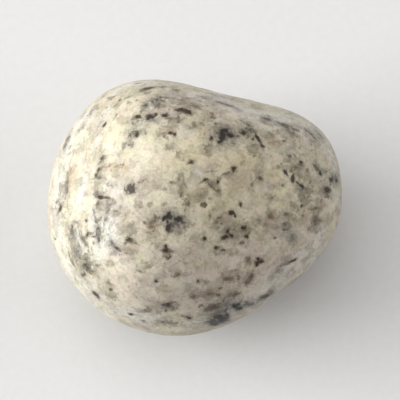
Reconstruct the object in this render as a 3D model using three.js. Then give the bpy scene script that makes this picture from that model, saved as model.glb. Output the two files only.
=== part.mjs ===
// A tumbled stone of dalmatian jasper: one pebble of pale, speckled, fine-grained rock.
//
// A rough block was broken out of the rock and then tumbled, so its form is a set of flat broken faces whose
// edges have worn round, with a few soft hollows and swells between them. Millimetres, +Z up. The stone rests
// on a small worn flat in the plane z = 0, +X points to its narrower right end and +Y to its back, where the
// long slope is. The origin is in that plane, under the middle of the stone's box.
import * as THREE from "three";
import { mergeVertices } from "three/addons/utils/BufferGeometryUtils.js";

// Driving dimensions.
const LENGTH = 29.6; // overall, along X
const DEPTH = 25.8; // overall, along Y
const HEIGHT = 20.8; // overall, along Z, as it rests
const FLAT_WORN_OFF = 0.15; // rubbed off underneath, which leaves the flat that it rests on

// How well the edges between the faces survived the tumbling: 4 is nearly a ball, 20 nearly sharp.
const EDGE_SHARPNESS = 8.5;

// Each face of the icosahedron that the form starts from is divided into (DETAIL + 1) squared triangles.
const DETAIL = 18;

// The broken faces. Each looks along an azimuth, from +X towards +Y, and an elevation, in degrees, and lies
// a distance in millimetres from the stone's middle.
const FACES = [
  // Round the widest part.
  { name: "right end", azimuth: 1, elevation: -5, distance: 16.9 },
  { name: "right end, to the back", azimuth: 23, elevation: 1, distance: 17.9 },
  { name: "back right shoulder", azimuth: 48, elevation: 3, distance: 16.4 },
  { name: "long back slope", azimuth: 75, elevation: 9, distance: 11.8 },
  { name: "back", azimuth: 100, elevation: 10, distance: 16.4 },
  { name: "back left shoulder", azimuth: 124, elevation: 7, distance: 15.6 },
  { name: "left end, to the back", azimuth: 148, elevation: 3, distance: 15.8 },
  { name: "left end", azimuth: 170, elevation: -6, distance: 16.9 },
  { name: "left end, to the front", azimuth: 194, elevation: -9, distance: 18.6 },
  { name: "front left shoulder", azimuth: 218, elevation: -14, distance: 16.0 },
  { name: "front", azimuth: 246, elevation: -22, distance: 15.1 },
  { name: "front, to the right", azimuth: 276, elevation: -20, distance: 14.0 },
  { name: "front right slope", azimuth: 306, elevation: -20, distance: 12.35 },
  { name: "right end, to the front", azimuth: 332, elevation: -12, distance: 15.9 },

  // Above it.
  { name: "broad top", azimuth: 300, elevation: 66, distance: 10.5 },
  { name: "left of the broad top", azimuth: 192, elevation: 60, distance: 11.8 },
  { name: "left flank", azimuth: 191, elevation: 31, distance: 14.4 },
  { name: "top, back left", azimuth: 133, elevation: 46, distance: 14.4 },
  { name: "above the long back slope", azimuth: 75, elevation: 47, distance: 12.2 },
  { name: "above the right end", azimuth: 4, elevation: 38, distance: 14.8 },
  { name: "above the front right slope", azimuth: 309, elevation: 28, distance: 12.7 },
  { name: "above the front", azimuth: 263, elevation: 26, distance: 13.4 },
  { name: "above the front left shoulder", azimuth: 228, elevation: 25, distance: 14.3 },

  // Below it.
  { name: "underside", azimuth: 0, elevation: -90, distance: 9.2 },
  { name: "under the long back slope", azimuth: 86, elevation: -36, distance: 10.9 },
  { name: "under the right end", azimuth: 15, elevation: -42, distance: 12.3 },
  { name: "under the left end", azimuth: 165, elevation: -43, distance: 12.9 },
  { name: "under the front", azimuth: 270, elevation: -53, distance: 12.4 },
  { name: "under the front left shoulder", azimuth: 208, elevation: -59, distance: 12.3 },
  { name: "under the front right slope", azimuth: 326, elevation: -60, distance: 12.1 },
];

// Soft hollows, and swells where the depth is negative: a depth in millimetres that fades over a spread in
// degrees, as seen from the stone's middle.
const HOLLOWS = [
  { name: "saddle in the long back slope", azimuth: 75, elevation: 16, spread: 16, depth: 0.4 },
  { name: "dip in the left flank", azimuth: 184, elevation: 22, spread: 12, depth: 0.16 },
  { name: "dip left of the broad top", azimuth: 168, elevation: 66, spread: 12, depth: 0.14 },
  { name: "dip in the front", azimuth: 250, elevation: 12, spread: 13, depth: 0.16 },
  { name: "dip under the right end", azimuth: 8, elevation: -30, spread: 14, depth: 0.2 },
  { name: "dip under the left end", azimuth: 150, elevation: -34, spread: 15, depth: 0.22 },
  { name: "swell on the broad top", azimuth: 330, elevation: 70, spread: 16, depth: -0.16 },
  { name: "swell over the front", azimuth: 272, elevation: 48, spread: 12, depth: -0.12 },
  { name: "swell on the right end", azimuth: 352, elevation: 14, spread: 12, depth: -0.12 },
  { name: "swell at the back", azimuth: 112, elevation: -8, spread: 13, depth: -0.15 },
];

function direction({ azimuth, elevation }) {
  const turn = THREE.MathUtils.degToRad(azimuth);
  const rise = THREE.MathUtils.degToRad(elevation);
  return new THREE.Vector3(Math.cos(rise) * Math.cos(turn), Math.cos(rise) * Math.sin(turn), Math.sin(rise));
}

const facePlanes = FACES.map((face) => ({ ...face, normal: direction(face) }));
const hollowCentres = HOLLOWS.map((hollow) => ({ ...hollow, normal: direction(hollow) }));

// How far the surface lies from the stone's middle along a ray. The nearest plane decides on a face; near an
// edge, two or three planes share in it, and that rounds the edge.
function surfaceAlong(ray) {
  let nearness = 0;
  for (const { normal, distance } of facePlanes) {
    nearness += (Math.max(0, ray.dot(normal)) / distance) ** EDGE_SHARPNESS;
  }
  let reach = nearness ** (-1 / EDGE_SHARPNESS);
  for (const { normal, spread, depth } of hollowCentres) {
    const away = THREE.MathUtils.radToDeg(ray.angleTo(normal)) / spread;
    reach -= depth * Math.exp(-away * away);
  }
  return reach;
}

// A closed ball of near-equal triangles, with each corner shared by the triangles round it.
function ball() {
  const geometry = new THREE.IcosahedronGeometry(1, DETAIL);
  geometry.deleteAttribute("normal");
  geometry.deleteAttribute("uv");
  return mergeVertices(geometry);
}

// Moves each corner of the ball out to the stone's surface.
function wearToForm(geometry) {
  const corners = geometry.getAttribute("position");
  const ray = new THREE.Vector3();
  for (let i = 0; i < corners.count; i++) {
    ray.fromBufferAttribute(corners, i).normalize();
    ray.multiplyScalar(surfaceAlong(ray));
    corners.setXYZ(i, ray.x, ray.y, ray.z);
  }
}

// Rubs the lowest part away to a level flat.
function wearFlatUnderneath(geometry) {
  geometry.computeBoundingBox();
  const flat = geometry.boundingBox.min.z + FLAT_WORN_OFF;
  const corners = geometry.getAttribute("position");
  for (let i = 0; i < corners.count; i++) {
    corners.setZ(i, Math.max(corners.getZ(i), flat));
  }
}

// Brings the form to its overall size, with its flat on z = 0 and the middle of its box over the origin.
function standAtSize(geometry) {
  geometry.computeBoundingBox();
  const size = geometry.boundingBox.getSize(new THREE.Vector3());
  geometry.scale(LENGTH / size.x, DEPTH / size.y, HEIGHT / size.z);
  geometry.computeBoundingBox();
  const middle = geometry.boundingBox.getCenter(new THREE.Vector3());
  geometry.translate(-middle.x, -middle.y, -geometry.boundingBox.min.z);
}

function makeStone() {
  const geometry = ball();
  wearToForm(geometry);
  wearFlatUnderneath(geometry);
  standAtSize(geometry);
  geometry.computeVertexNormals();
  const polishedRock = new THREE.MeshStandardMaterial({ color: 0xcfc4ad, roughness: 0.35, metalness: 0 });
  const stone = new THREE.Mesh(geometry, polishedRock);
  stone.name = "stone";
  return stone;
}

const specimen = new THREE.Group();
specimen.add(makeStone());

export default specimen;
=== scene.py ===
import math
import random

import bmesh
import bpy
import numpy as np
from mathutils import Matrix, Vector
from mathutils.bvhtree import BVHTree


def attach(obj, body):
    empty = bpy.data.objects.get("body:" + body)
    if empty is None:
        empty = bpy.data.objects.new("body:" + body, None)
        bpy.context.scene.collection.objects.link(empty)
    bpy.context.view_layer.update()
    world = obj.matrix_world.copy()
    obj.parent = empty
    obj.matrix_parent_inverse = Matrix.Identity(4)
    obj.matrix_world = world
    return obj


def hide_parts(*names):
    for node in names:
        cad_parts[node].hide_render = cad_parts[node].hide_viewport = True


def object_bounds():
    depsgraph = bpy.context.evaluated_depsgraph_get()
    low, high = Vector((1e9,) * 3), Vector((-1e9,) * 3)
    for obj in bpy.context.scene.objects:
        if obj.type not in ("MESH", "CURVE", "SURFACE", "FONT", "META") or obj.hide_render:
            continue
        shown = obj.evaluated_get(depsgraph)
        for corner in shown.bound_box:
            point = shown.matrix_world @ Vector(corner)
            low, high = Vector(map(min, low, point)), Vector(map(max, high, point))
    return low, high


bl_info = {
    "name": "Tumbled Dalmatian Jasper",
    "version": (1, 0, 0),
    "blender": (4, 5, 0),
    "location": "View3D > Sidebar > Jasper",
    "description": "Models and finishes one tumbled stone of pale rock with black spots, and its stage",
    "category": "Add Mesh",
}

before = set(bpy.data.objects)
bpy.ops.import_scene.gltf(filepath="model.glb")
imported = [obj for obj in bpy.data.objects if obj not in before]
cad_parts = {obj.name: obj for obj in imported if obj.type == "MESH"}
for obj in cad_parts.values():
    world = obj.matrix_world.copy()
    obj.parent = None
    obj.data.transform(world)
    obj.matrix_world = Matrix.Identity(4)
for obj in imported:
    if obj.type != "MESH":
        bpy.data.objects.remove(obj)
SOLID_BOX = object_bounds()
MM = 0.001  # a millimetre, in metres
SOLID = "stone"
PIECE = "tumbled_stone"

# The rock's marks, and the painted highlights, sheen and shade among them, area by area and from the left.
# Each is
# an oval that shows on the surface: how far across and up it lies from the point that the camera looks at,
# its length, its width, and its turn from across towards up. Millimetres and degrees. Ovals of one kind that
# touch join into one ragged mark.
BLACK_GRAINS = [
    # Back, left of the middle.
    (-9.45, 7.55, 0.4, 0.18, 45), (-8, 9.9, 0.26, 0.2, 60), (-6.3, 6.45, 0.5, 0.3, 40),
    (-6.15, 8.22, 0.62, 0.34, 5), (-5.15, 11, 1, 0.24, 16), (-4.95, 8.33, 0.98, 0.48, 18),
    (-4.45, 8.5, 0.55, 0.28, 30), (-3.5, 8.47, 0.7, 0.32, 0), (-2.9, 6.7, 0.4, 0.3, 0),
    (-2.5, 6.6, 0.34, 0.36, 0), (-1.9, 8.95, 1.05, 0.36, -5), (-1.25, 8.75, 0.8, 0.36, -22),
    # Back, right of the middle.
    (1.15, 6.2, 0.36, 0.28, 80), (2, 5.8, 0.44, 0.34, 20), (2.15, 6.75, 0.7, 0.34, 85),
    (2.2, 6.2, 0.9, 0.56, 80), (2.3, 6.5, 0.6, 0.44, 80), (2.55, 6.9, 0.72, 0.5, 10),
    (2.65, 6.6, 0.6, 0.3, -35), (3.05, 6.45, 0.75, 0.4, -18), (4.3, 6.65, 0.44, 0.26, -10),
    (5.25, 6.05, 0.28, 0.24, 0), (5.75, 6.15, 1.05, 0.32, -57), (6.22, 5.35, 0.4, 0.26, -60),
    # Left flank.
    (-14.5, -3.9, 0.2, 0.2, 0), (-14, -0.85, 0.9, 0.26, 62), (-11.6, -7.45, 0.5, 0.18, 15),
    (-11.6, -6.5, 0.3, 0.24, 0), (-11.35, -2.1, 0.3, 0.22, 80), (-11.25, -3.5, 0.56, 0.34, 80),
    # (-10.3, 2.45), (-10.05, 3.05) and (-9.75, 4.15) lie along the ridge's right side and are partly painted
    # shade of the ridge.
    (-11.2, -6.8, 0.3, 0.24, 0), (-10.65, -3.7, 0.36, 0.18, 0), (-10.3, 2.45, 0.36, 0.2, 75),
    (-10.25, -2.85, 0.34, 0.22, 0), (-10.15, -4, 0.5, 0.22, 85), (-10.05, 3.05, 0.36, 0.2, 70),
    # (-9.9, 0.27) and (-9.3, 0.22) draw the nick, partly as painted shade in its crack.
    (-9.9, 0.27, 0.5, 0.32, -8), (-9.75, 4.15, 0.4, 0.18, 50), (-9.3, 0.22, 0.8, 0.18, -6),
    (-8.75, -4.35, 0.55, 0.22, -65), (-8.3, -4.85, 0.42, 0.3, -50),
    # Right end.
    (7.15, 0.15, 0.34, 0.22, 30), (8.3, 1.45, 0.24, 0.24, 0), (8.55, 2.75, 0.66, 0.26, -58),
    (9.35, 2.15, 0.7, 0.38, 80), (9.8, 1.75, 0.45, 0.22, -30), (10.15, 3.7, 0.48, 0.3, -50),
    (10.2, -0.6, 0.32, 0.22, 50), (10.25, 1.4, 0.6, 0.34, -40), (12.05, 2.65, 0.4, 0.22, -60),
    (12.7, 0.97, 0.66, 0.62, 0), (13.1, 2, 0.5, 0.36, 70), (13.6, 1.9, 0.45, 0.28, 80),
    # Broad top, left of the middle.
    (-7.1, -3.95, 0.64, 0.52, 0), (-6.9, 1.1, 1.05, 0.96, 20), (-3.65, -1.95, 0.55, 0.22, 62),
    (-3.36, -4.72, 0.44, 0.28, 85), (-3.32, -4.97, 0.46, 0.22, 0), (-3.25, -2.25, 0.4, 0.18, -70),
    (-3.15, -1.75, 0.9, 0.34, -5), (-3.15, -1.5, 0.66, 0.42, 80), (-3.1, -2.75, 0.76, 0.56, 72),
    (-2.1, -1.92, 0.78, 0.48, -5), (-0.85, 3.8, 0.58, 0.36, 12),
    # Broad top, right of the middle.
    (0.5, -3.9, 0.38, 0.38, 0), (0.55, 2.05, 0.44, 0.26, 15), (1.6, -4.75, 0.22, 0.24, 0),
    (1.8, 1.75, 0.26, 0.26, 0), (2.45, -3.8, 0.6, 0.32, 20), (2.8, -3.75, 0.6, 0.2, 10),
    (2.8, -3.2, 0.55, 0.26, 80), (3.15, -3.6, 0.34, 0.36, 0), (3.15, -1.25, 0.55, 0.46, -10),
    (3.35, 3.05, 0.54, 0.5, 60), (3.45, -1.55, 0.36, 0.26, -50), (4.05, -0.4, 0.52, 0.28, -70),
    (4.4, -2.85, 0.5, 0.34, 0), (4.65, -3.65, 0.32, 0.26, -30), (6.1, 2.05, 0.32, 0.24, -30),
    # Front, left of the middle.
    (-10.4, -9.45, 0.9, 0.32, -45), (-8.9, -8.95, 0.26, 0.26, 0), (-6.9, -11.45, 0.36, 0.2, -5),
    (-4.35, -8.1, 0.38, 0.34, 0), (-3.36, -5.16, 0.92, 0.24, -6), (-3.2, -10.45, 0.46, 0.36, 0),
    (-3.15, -5.8, 0.4, 0.16, 30), (-1.05, -11.8, 0.5, 0.28, 5), (-0.2, -8.15, 0.36, 0.28, 80),
    # Front, right of the middle.
    (1.4, -12.3, 1, 0.62, -25), (1.8, -11.7, 0.8, 0.56, 0), (2.3, -11.95, 0.95, 0.62, 5),
    (2.3, -5, 0.42, 0.2, 0), (2.7, -11.5, 0.8, 0.26, -58), (3.4, -10.6, 0.44, 0.4, 0),
    (3.85, -10.4, 0.36, 0.3, 0), (3.9, -10.8, 0.56, 0.36, 10), (5.65, -6.5, 0.45, 0.28, 45),
    (5.8, -5.9, 0.38, 0.24, 80), (5.9, -6.2, 0.5, 0.3, 20), (6.1, -6.15, 0.56, 0.32, 5),
    (6.45, -9.65, 0.95, 0.4, 18), (9.3, -6.1, 0.8, 0.24, 28),
]
BROWN_GRAINS = [
    # Back, left of the middle.
    (-13.5, 5.3, 0.7, 0.3, 75), (-13.4, 5.4, 0.8, 0.28, 75), (-13.25, 6.1, 0.6, 0.26, 60),
    (-13.1, 6, 0.7, 0.3, 65), (-12.1, 6.9, 0.3, 0.28, 0), (-9.5, 7.5, 0.6, 0.3, 45),
    (-9.1, 10.2, 0.4, 0.2, 20), (-8.9, 10.1, 0.8, 0.3, 25), (-8.35, 8.3, 0.75, 0.2, 55),
    (-7.6, 5.35, 0.7, 0.3, 80), (-7.5, 5.4, 0.6, 0.36, 80), (-7.2, 10.1, 0.8, 0.18, 20),
    (-7.1, 9.6, 0.4, 0.28, 50), (-7, 5.5, 0.3, 0.26, 0), (-6.95, 6.4, 0.42, 0.3, 60),
    (-6.9, 6.5, 0.36, 0.3, 0), (-6.75, 5.45, 0.56, 0.28, 75), (-6.75, 5.5, 0.48, 0.3, 80),
    (-6.6, 7.6, 0.4, 0.16, 60), (-6.4, 6.75, 1, 0.34, 20), (-6.3, 9.8, 0.5, 0.24, 0),
    (-6.2, 11.6, 0.95, 0.26, 10), (-5.8, 8.7, 0.4, 0.18, 60), (-5.75, 7.85, 0.44, 0.16, 40),
    (-5.5, 9.3, 0.6, 0.22, 35), (-5.45, 10.95, 1.7, 0.42, 15), (-5.4, 6.7, 0.34, 0.3, 0),
    (-5.35, 6.65, 0.26, 0.3, 0), (-5.3, 9.4, 0.4, 0.24, 20), (-5.2, 10.55, 0.8, 0.22, 20),
    (-4.75, 10, 0.3, 0.2, 0), (-4.7, 9.6, 0.26, 0.24, 0), (-4.4, 9.3, 0.26, 0.2, 0),
    (-4.3, 9.9, 0.3, 0.24, 0), (-4.05, 9.55, 0.24, 0.2, 0), (-3.8, 9.85, 0.32, 0.24, -20),
    (-3.7, 10.15, 0.9, 0.18, -5), (-3.6, 11.3, 0.8, 0.24, 12), (-3.55, 6.25, 0.5, 0.16, -50),
    (-3.4, 6.25, 0.34, 0.3, 0), (-3.25, 6.2, 0.5, 0.16, 50), (-3.2, 8.1, 0.7, 0.2, 0),
    (-3.1, 8.9, 0.5, 0.18, 75), (-2.5, 11.05, 0.95, 0.34, -2), (-2.2, 8.2, 0.46, 0.34, 0),
    (-2.15, 7.75, 0.38, 0.3, 0), (-0.5, 9.25, 1.2, 0.18, -24), (-0.3, 9.35, 0.95, 0.2, -25),
    # Back, right of the middle.
    (1.2, 8.5, 0.56, 0.4, 80), (1.4, 8.2, 0.55, 0.24, 0), (1.55, 7.6, 0.46, 0.26, -10),
    (1.95, 5.75, 0.6, 0.46, 0), (2, 9.6, 1.1, 0.16, -18), (2.1, 9.7, 1.2, 0.2, -14),
    (2.4, 6.5, 1.2, 0.9, -20), (2.6, 7.45, 0.46, 0.22, -5), (2.9, 9.45, 0.9, 0.22, -8),
    (2.95, 9.35, 0.8, 0.26, -8), (3.75, 6.35, 0.3, 0.26, 0), (4.45, 6.7, 0.8, 0.36, -25),
    (4.7, 7.5, 1.1, 0.24, -30), (4.9, 6.3, 0.26, 0.26, 0), (5.15, 6.95, 1, 0.3, -8),
    (5.9, 5.9, 1.7, 0.28, -58), (6.6, 8.1, 1.6, 0.18, -20), (6.7, 8.05, 1.3, 0.2, -18),
    (6.8, 8.45, 0.55, 0.24, -15), (6.9, 8.4, 0.6, 0.22, -15), (8, 7.6, 1.4, 0.2, -24),
    (8.3, 7.4, 1.4, 0.2, -28), (8.35, 5.85, 0.36, 0.28, 0), (8.9, 7.3, 0.9, 0.2, -30),
    (9.4, 6.95, 0.8, 0.26, -20), (9.6, 6.9, 0.55, 0.22, -5), (11.2, 6.4, 1.6, 0.18, -42),
    # Left flank.
    (-14.35, -0.3, 0.55, 0.26, -60), (-13.3, 1, 0.85, 0.28, 80), (-13.2, 1.8, 0.56, 0.34, 80),
    (-13.2, 2.6, 0.6, 0.24, 60), (-13.1, -5.4, 1.1, 0.24, -80), (-12.88, -3.1, 1.3, 0.32, 84),
    (-12.85, -3.2, 1, 0.2, 82), (-12.7, -6.3, 1.2, 0.3, -60), (-12.7, -2.15, 0.5, 0.22, 30),
    (-12.6, -2.2, 0.75, 0.26, 0), (-12.3, -2.3, 0.36, 0.2, -60), (-12, -5.8, 0.34, 0.26, 0),
    (-11.95, -5.85, 0.3, 0.26, 0), (-11.75, -3.9, 0.8, 0.44, -50), (-11.7, -7.5, 0.38, 0.36, 0),
    (-11.7, -4, 1, 0.34, -57), (-11.6, -6.55, 0.5, 0.4, 0), (-11.45, -5.35, 0.34, 0.28, 0),
    (-11.35, -6.65, 1, 0.9, 0), (-11.3, -4.4, 0.6, 0.26, -57), (-11.15, -5.1, 0.46, 0.18, -70),
    (-11.1, -7.1, 0.95, 0.36, 0), (-11.05, -4.75, 0.3, 0.14, 30), (-11, -5.5, 0.34, 0.22, 0),
    (-10.9, -3.35, 0.44, 0.4, 0), (-10.85, -7.4, 0.44, 0.24, 0), (-10.8, -4.9, 0.56, 0.16, -85),
    (-10.68, -5.45, 0.36, 0.18, -70), (-10.65, -4.3, 0.34, 0.3, 0), (-10.5, -1.2, 0.95, 0.2, -85),
    # The brown line along the ridge's right side, from (-10.3, 0) up to (-9.6, 4.3), is partly painted shade
    # of the ridge.
    (-10.4, -2.3, 0.4, 0.2, 70), (-10.35, 2.4, 0.5, 0.26, 85), (-10.3, -6.55, 0.9, 0.24, 0),
    (-10.3, -2.1, 0.44, 0.4, 0), (-10.3, 0.6, 0.5, 0.36, 80), (-10.2, -0.4, 0.8, 0.18, 78),
    (-10.15, -3.3, 1.3, 0.56, 88), (-10.15, 2.85, 0.46, 0.24, 80), (-10.1, -0.5, 0.5, 0.28, 60),
    (-10.05, 2.2, 0.36, 0.28, 0), (-9.9, -1.8, 0.4, 0.14, 60), (-9.9, 3.1, 0.65, 0.3, 50),
    (-9.9, 3.8, 0.6, 0.22, 60), (-9.65, -3.6, 0.5, 0.14, 20), (-9.65, 4.2, 0.45, 0.28, 45),
    (-9.6, 4.25, 0.6, 0.34, 45), (-9.5, -2.15, 0.55, 0.14, 65), (-9.5, -2.1, 0.6, 0.24, 80),
    # (-9.3, -0.7) and the grains round (-8.9, -0.3) below it are partly painted shadow under the nick's step.
    (-9.5, 2.15, 0.4, 0.24, -20), (-9.35, -3.1, 0.6, 0.12, -75), (-9.3, -0.7, 1.7, 0.36, 86),
    (-9.3, 3.3, 0.6, 0.16, 10), (-9.2, -1.7, 0.5, 0.12, 80), (-9.2, 1.55, 0.42, 0.22, 70),
    (-9.2, 1.7, 0.46, 0.16, 50), (-9.1, -3.8, 0.5, 0.12, 80), (-9.1, -1, 0.44, 0.28, 70),
    (-9, 3.5, 0.46, 0.2, 60), (-9, 3.6, 0.36, 0.24, 60), (-8.95, 1.5, 0.34, 0.14, -30),
    (-8.9, -2.7, 0.6, 0.12, 75), (-8.9, -0.6, 0.4, 0.24, -30), (-8.9, 0, 0.9, 0.26, 0),
    (-8.6, -2.2, 0.6, 0.12, 55), (-8.6, -0.3, 0.44, 0.28, 20), (-8.4, -1.1, 0.36, 0.24, 0),
    (-8.4, 3.35, 0.5, 0.16, 20), (-8.35, 1.5, 0.26, 0.22, 0),
    # Right end.
    (6.9, -1.5, 0.36, 0.3, 0), (7.1, -1.6, 0.75, 0.56, -30), (7.55, -3.8, 0.38, 0.32, 0),
    (8.4, -2.4, 0.56, 0.38, 10), (8.5, -2.95, 0.55, 0.22, 0), (8.7, -1.45, 0.56, 0.34, 0),
    (8.95, 4.4, 0.4, 0.32, -30), (9.2, 2.9, 0.36, 0.3, 0), (9.6, 3.3, 0.85, 0.26, 10),
    (9.6, 4.35, 0.75, 0.2, -40), (10.3, -1.6, 0.42, 0.24, 80), (10.8, 3, 0.46, 0.3, -60),
    (10.85, 0.35, 0.34, 0.3, 0), (11.1, -0.05, 0.28, 0.26, 0), (11.3, 1.4, 0.26, 0.24, 0),
    (11.5, -2.4, 0.4, 0.36, 0), (11.5, -0.85, 0.8, 0.26, 10), (11.6, -1.9, 0.8, 0.7, 80),
    (11.7, 3.2, 1.2, 0.34, -55), (12.1, -0.1, 0.34, 0.24, 80), (12.7, 0.4, 0.6, 0.5, 0),
    # Broad top, left of the middle.
    (-7.9, 3.6, 0.26, 0.18, 0), (-7.8, 3.2, 0.2, 0.16, 0), (-7.6, 3.5, 0.2, 0.18, 0),
    (-7.6, 3.75, 0.36, 0.16, 80), (-7.45, -4.35, 0.6, 0.3, 0), (-6.6, -4.3, 0.75, 0.38, -10),
    (-5.7, 1.95, 1, 0.14, 32), (-5, -2.75, 0.5, 0.3, 0), (-4.9, -2.75, 0.7, 0.42, 10),
    (-4.85, -2.3, 0.6, 0.4, 20), (-4.8, -2.15, 0.65, 0.26, 10), (-4.55, -1.5, 0.34, 0.24, 0),
    (-4.5, -1.6, 0.4, 0.3, 0), (-4.2, -1.8, 0.4, 0.3, 0), (-3.4, -4.66, 0.56, 0.5, 90),
    (-3.37, -4.9, 0.8, 0.56, 0), (-3.05, -3.05, 0.6, 0.46, 70), (-2.85, 1.7, 0.4, 0.34, 0),
    (-2.3, -2.45, 0.8, 0.3, 0), (-2.1, -1.9, 0.9, 0.74, 0), (-2.05, 2.15, 0.5, 0.3, 85),
    (-1.9, 0.5, 0.44, 0.3, 80), (-1.8, -2.3, 0.4, 0.24, 0), (-1.6, -2.75, 0.46, 0.24, 0),
    (-1.5, -1.1, 0.4, 0.22, 60), (-1.25, -2.3, 0.3, 0.18, 0), (-1.2, -2.75, 0.26, 0.2, 0),
    (-1.2, -0.4, 0.45, 0.36, 0),
    # Broad top, right of the middle.
    (0.15, 1.8, 0.7, 0.2, 35), (0.35, -0.5, 0.65, 0.5, 0), (1, -1.6, 0.5, 0.24, 80),
    (1.05, 0.1, 0.44, 0.3, 0), (1.1, 2.85, 1.4, 0.16, 5), (1.3, 1.2, 1.8, 0.22, -47),
    (1.65, -4.8, 0.46, 0.44, 0), (1.7, -2.25, 0.3, 0.28, 0), (1.9, 0.85, 0.44, 0.34, 0),
    (1.9, 2.05, 0.5, 0.36, 40), (1.95, -1.75, 0.5, 0.24, 10), (2.15, -2.4, 0.34, 0.3, 0),
    (2.7, 2.7, 1.1, 0.22, 25), (4.2, -4.3, 0.46, 0.36, 0), (4.4, -2.85, 0.66, 0.54, 0),
    (4.55, -4.75, 0.32, 0.26, 0), (5.95, 2.25, 0.6, 0.46, 0), (6.1, 2.1, 0.56, 0.4, 0),
    # Front, left of the middle.
    (-9.2, -8.25, 0.56, 0.26, -30), (-8.95, -8.95, 0.44, 0.38, 0), (-8, -5, 0.36, 0.3, 0),
    (-6.9, -11.45, 0.6, 0.28, -5), (-6, -7.1, 0.95, 0.24, -15), (-5.7, -12.1, 0.46, 0.26, 0),
    (-5.4, -11.05, 0.46, 0.36, 80), (-5.2, -11, 0.7, 0.36, 0), (-5.2, -10.8, 0.6, 0.3, 0),
    (-5, -10.95, 0.4, 0.32, 0), (-3.4, -11, 0.46, 0.28, 80), (-3.35, -5.75, 0.6, 0.2, -40),
    (-3.33, -5.12, 1.04, 0.5, -6), (-3.2, -12.3, 1.6, 0.36, 0), (-3.2, -10.5, 0.8, 0.56, 0),
    (-3.2, -5.45, 0.44, 0.14, 5), (-3.05, -5.65, 0.66, 0.16, 80), (-2.7, -10.9, 0.46, 0.24, 80),
    (-2.2, -7.5, 0.55, 0.28, 30), (-1.5, -11.65, 1, 0.36, -10), (-0.6, -9.7, 0.6, 0.4, 20),
    # Front, right of the middle.
    (0.05, -10.55, 0.5, 0.32, 0), (0.65, -11, 0.6, 0.4, 0), (1, -9.4, 0.5, 0.4, 0),
    (1.4, -10.7, 1.7, 0.6, 18), (1.8, -9.5, 0.46, 0.3, 0), (2.1, -8.85, 0.6, 0.2, 25),
    (2.4, -10, 0.5, 0.24, 60), (2.8, -7.9, 0.85, 0.42, 0), (3.6, -7, 0.6, 0.2, 0), (3.65, -9.5, 0.9, 0.3, 15),
    (3.85, -7.9, 0.7, 0.44, 80), (4.6, -10.4, 0.7, 0.5, 0), (4.65, -8.5, 0.34, 0.24, 20),
    (4.85, -6, 0.6, 0.44, 80), (4.95, -7.95, 1.3, 0.44, 60), (5, -10.4, 1.2, 0.34, 12),
    (5.4, -7.05, 0.3, 0.2, 30), (5.9, -6.15, 0.95, 0.66, 20), (7, -9.15, 0.6, 0.5, 20),
]
SMOKY_HALOES = [
    # Back, left of the middle.
    (-13.4, 5.5, 2.2, 0.5, 70), (-7, 5.8, 0.8, 0.3, 60), (-6.35, 6.7, 1.2, 0.66, 20),
    (-5.3, 9.25, 0.8, 0.4, 40), (-4.7, 7.95, 0.9, 0.4, 0), (-4.5, 9.8, 1.5, 0.46, 12),
    (-4.4, 9.35, 0.6, 0.3, 0),
    # Back, right of the middle.
    (0.6, 10.2, 1.4, 0.3, -14), (2.45, 6.5, 2.3, 1.9, -8), (2.6, 9.45, 1.9, 0.4, -12),
    (4.6, 6.8, 1.6, 0.9, -10), (4.8, 7.5, 1.6, 0.6, -30), (6.7, 8.1, 1.4, 0.3, -20), (8, 7.5, 1.8, 0.36, -26),
    (12, 6.4, 1.6, 0.6, -50),
    # Left flank.
    (-12.75, -3.4, 1.8, 0.64, 84), (-12.35, -5.2, 1.6, 0.76, 80), (-11.6, -4, 1.3, 0.4, -57),
    (-11.4, -5.95, 0.9, 0.6, 80), (-11.35, -6.65, 1.2, 1.1, 0), (-10.5, -1.2, 1.1, 0.26, -85),
    (-10.3, -2.15, 0.66, 0.5, 60), (-10.2, -3.3, 1.9, 0.66, 88), (-9.7, 0.7, 0.6, 0.5, 0),
    (-9.4, -2, 0.8, 0.6, 80), (-8.9, -4.4, 1.2, 0.8, -60), (-8.6, -4.65, 1.3, 0.7, -55),
    # Right end.
    (9.2, -3.8, 1.2, 1.1, 80), (10.1, 1, 0.9, 0.7, -30), (11.8, 3.2, 1.4, 0.6, -55), (13.4, 2.2, 1.3, 1.2, 0),
    # Broad top, left of the middle.
    (-2.8, -2.2, 2, 1.4, 0), (-2.7, -2, 2.6, 1.9, -20), (-2.1, -1.9, 1.3, 0.9, 0), (-1.4, -2.4, 1, 0.8, 0),
    # Front, left of the middle.
    (-3.2, -10.55, 1.3, 0.5, 0),
    # Front, right of the middle.
    (1.3, -10.8, 2, 0.9, 15), (1.9, -12.2, 2.2, 1, 0), (2, -11.6, 2.4, 1.7, -50), (2.1, -11.3, 1.4, 1, -60),
    (2.7, -10.6, 2.2, 1.4, 20), (3, -10.5, 2.2, 1.2, 0), (3.8, -10.7, 1.4, 1, 0), (5.2, -10.35, 2.4, 0.7, 12),
    (7, -9.4, 1.2, 0.6, 18), (8.8, -6.25, 0.9, 0.34, 24),
]
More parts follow.
